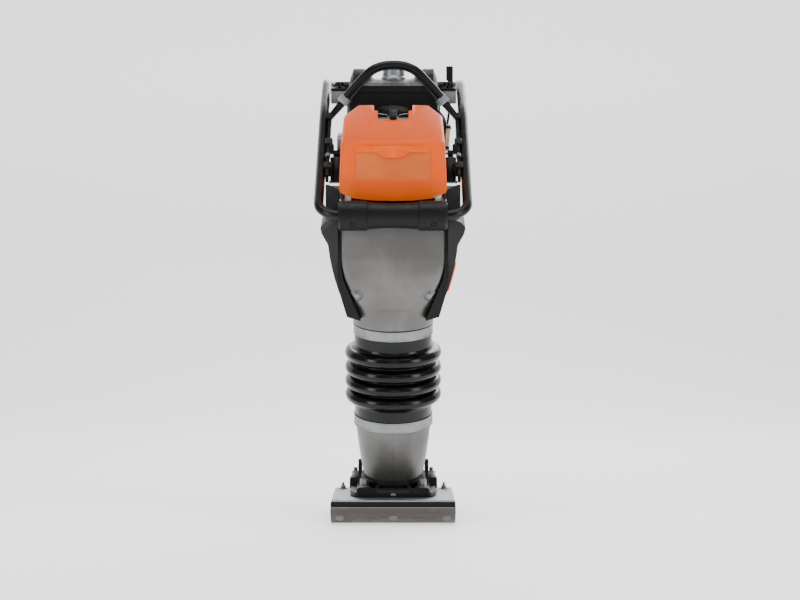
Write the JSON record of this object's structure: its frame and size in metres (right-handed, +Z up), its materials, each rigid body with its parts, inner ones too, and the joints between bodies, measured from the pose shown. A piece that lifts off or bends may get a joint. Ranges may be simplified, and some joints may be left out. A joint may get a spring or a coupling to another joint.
{
  "type": "jumping jack rammer",
  "caption": "Upright soil rammer: sprung steel shoe on a leaning leg with bellows, cast crankcase, engine behind, orange air-filter cover, fuel tank and tube handle frame with lifting hoop.",
  "frame": {"origin": "centre of the sole's flat underside", "axes": "+Z up, -Y towards the front of the machine, +X to the right in a front view"},
  "size_m": [0.35, 0.7584, 1.0855],
  "materials": {
    "worn_steel": "worn and scuffed",
    "zinc_steel": "zinc plated",
    "cast_aluminium": "as cast, satin",
    "black_casting": "black painted casting",
    "rubber": "black, glossy on the bellows",
    "black_plastic": "moulded, fine texture",
    "grey_plastic": "moulded, dark grey",
    "orange_plastic": "moulded, satin orange",
    "black_enamel": "glossy black",
    "machined_steel": "machined, oiled",
    "filter_paper": "pleated paper"
  },
  "bodies": {
    "housing": {"crankcase": "cast_aluminium", "bell_housing": "cast_aluminium", "guide_cylinder": "machined_steel", "upper_clamp_ring": "zinc_steel", "panel_screw_left": "zinc_steel", "panel_screw_right": "zinc_steel", "side_cover_left": "grey_plastic", "side_cover_right": "grey_plastic", "engine_block": "cast_aluminium", "engine_cylinder": "cast_aluminium", "rocker_cover": "grey_plastic", "spark_plug_cap": "rubber", "carburettor": "cast_aluminium", "intake_duct": "rubber", "muffler": "worn_steel", "muffler_guard": "zinc_steel", "starter_cover": "black_plastic", "filter_base": "black_plastic", "filter_element": "filter_paper", "rubber_mount_left": "rubber", "rubber_mount_right": "rubber"},
    "foot": {"wear_plate": "worn_steel", "shoe_core": "black_plastic", "shoe_top_plate": "zinc_steel", "leg_bracket": "black_casting", "leg_nut_front_left": "zinc_steel", "leg_nut_front_right": "zinc_steel", "leg_nut_rear_left": "zinc_steel", "leg_nut_rear_right": "zinc_steel", "spring_cylinder": "cast_aluminium", "lower_clamp_ring": "zinc_steel", "bellows": "rubber", "lower_spring": "machined_steel", "upper_spring": "machined_steel"},
    "piston": {"piston": "cast_aluminium", "piston_rod": "machined_steel"},
    "crank": {"crank_gear": "machined_steel"},
    "connecting_rod": {"connecting_rod": "machined_steel"},
    "clutch_drum": {"clutch_drum": "machined_steel"},
    "engine_shaft": {"clutch_hub": "machined_steel", "flywheel": "cast_aluminium"},
    "choke_lever": {"choke_lever": "black_plastic"},
    "starter_grip": {"starter_grip": "black_plastic"},
    "filter_cover": {"filter_cover": "orange_plastic"},
    "cover_latch": {"cover_latch": "rubber"},
    "handle": {"front_cross_tube": "black_enamel", "handle_tube_left": "black_enamel", "handle_tube_right": "black_enamel", "rear_handle": "black_enamel", "rear_grip": "rubber", "front_bumper": "black_plastic", "lifting_hoop": "black_enamel", "hoop_leg_left": "black_enamel", "hoop_leg_right": "black_enamel", "fuel_tank": "black_plastic", "tank_bracket": "zinc_steel", "throttle_cable": "black_plastic"},
    "throttle_lever": {"throttle_lever": "black_plastic"},
    "fuel_cap": {"fuel_cap": "black_plastic"},
    "fuel_tap": {"fuel_tap": "zinc_steel"}
  },
  "joints": [
    {"name": "foot_stroke", "type": "slide", "parent": "housing", "child": "foot", "axis": [0, -0.2588, 0.9659], "range_m": [-0.03, 0.035], "stiffness_N_per_m": 60000, "springref_m": -0.008, "deforming": ["bellows"]},
    {"name": "piston_stroke", "type": "slide", "parent": "housing", "child": "piston", "axis": [0, -0.2588, 0.9659], "range_m": [0, 0.065], "deforming": ["lower_spring", "upper_spring"]},
    {"name": "crank_gear_spin", "type": "hinge", "parent": "housing", "child": "crank", "pos_m": [0, -0.11588, 0.59711], "axis": [0, 0.9659, 0.2588], "continuous": true},
    {"name": "connecting_rod_swing", "type": "hinge", "parent": "crank", "child": "connecting_rod", "pos_m": [0, -0.10747, 0.56572], "axis": [0, 0.9659, 0.2588], "continuous": true},
    {"name": "clutch_drum_spin", "type": "hinge", "parent": "housing", "child": "clutch_drum", "pos_m": [0, -0.13529, 0.66956], "axis": [0, 0.9659, 0.2588], "continuous": true},
    {"name": "engine_shaft_spin", "type": "hinge", "parent": "housing", "child": "engine_shaft", "pos_m": [0, -0.13529, 0.66956], "axis": [0, 0.9659, 0.2588], "continuous": true},
    {"name": "choke_lever_swing", "type": "hinge", "parent": "housing", "child": "choke_lever", "pos_m": [0.1003, 0.01849, 0.81429], "axis": [1, 0, 0], "range_deg": [0, 60]},
    {"name": "starter_grip_pull", "type": "slide", "parent": "housing", "child": "starter_grip", "axis": [0, 0.9659, 0.2588], "range_m": [0, 0.55], "stiffness_N_per_m": 20, "springref_m": -0.3},
    {"name": "filter_cover_tilt", "type": "hinge", "parent": "housing", "child": "filter_cover", "pos_m": [0, -0.196, 0.734], "axis": [1, 0, 0], "range_deg": [0, 60]},
    {"name": "cover_latch_swing", "type": "hinge", "parent": "filter_cover", "child": "cover_latch", "pos_m": [0, -0.088, 0.916], "axis": [1, 0, 0], "range_deg": [0, 75]},
    {"name": "handle_frame_flex", "type": "hinge", "parent": "housing", "child": "handle", "pos_m": [0, -0.034, 0.8], "axis": [1, 0, 0], "range_deg": [-2.5, 2.5], "stiffness_Nm_per_rad": 4000},
    {"name": "throttle_lever_swing", "type": "hinge", "parent": "handle", "child": "throttle_lever", "pos_m": [0.137, 0.25, 1.006], "axis": [1, 0, 0], "range_deg": [-35, 20]},
    {"name": "fuel_cap_lift", "type": "slide", "parent": "handle", "child": "fuel_cap", "axis": [0, 0, 1], "range_m": [0, 0.04]},
    {"name": "fuel_tap_turn", "type": "hinge", "parent": "handle", "child": "fuel_tap", "pos_m": [-0.06, 0.118, 0.9225], "axis": [0, 0, 1], "range_deg": [0, 90]}
  ],
  "couplings": [
    {"joint": "connecting_rod_swing", "follows": "crank_gear_spin", "ratio": -1},
    {"joint": "clutch_drum_spin", "follows": "crank_gear_spin", "ratio": -5.8182}
  ]
}
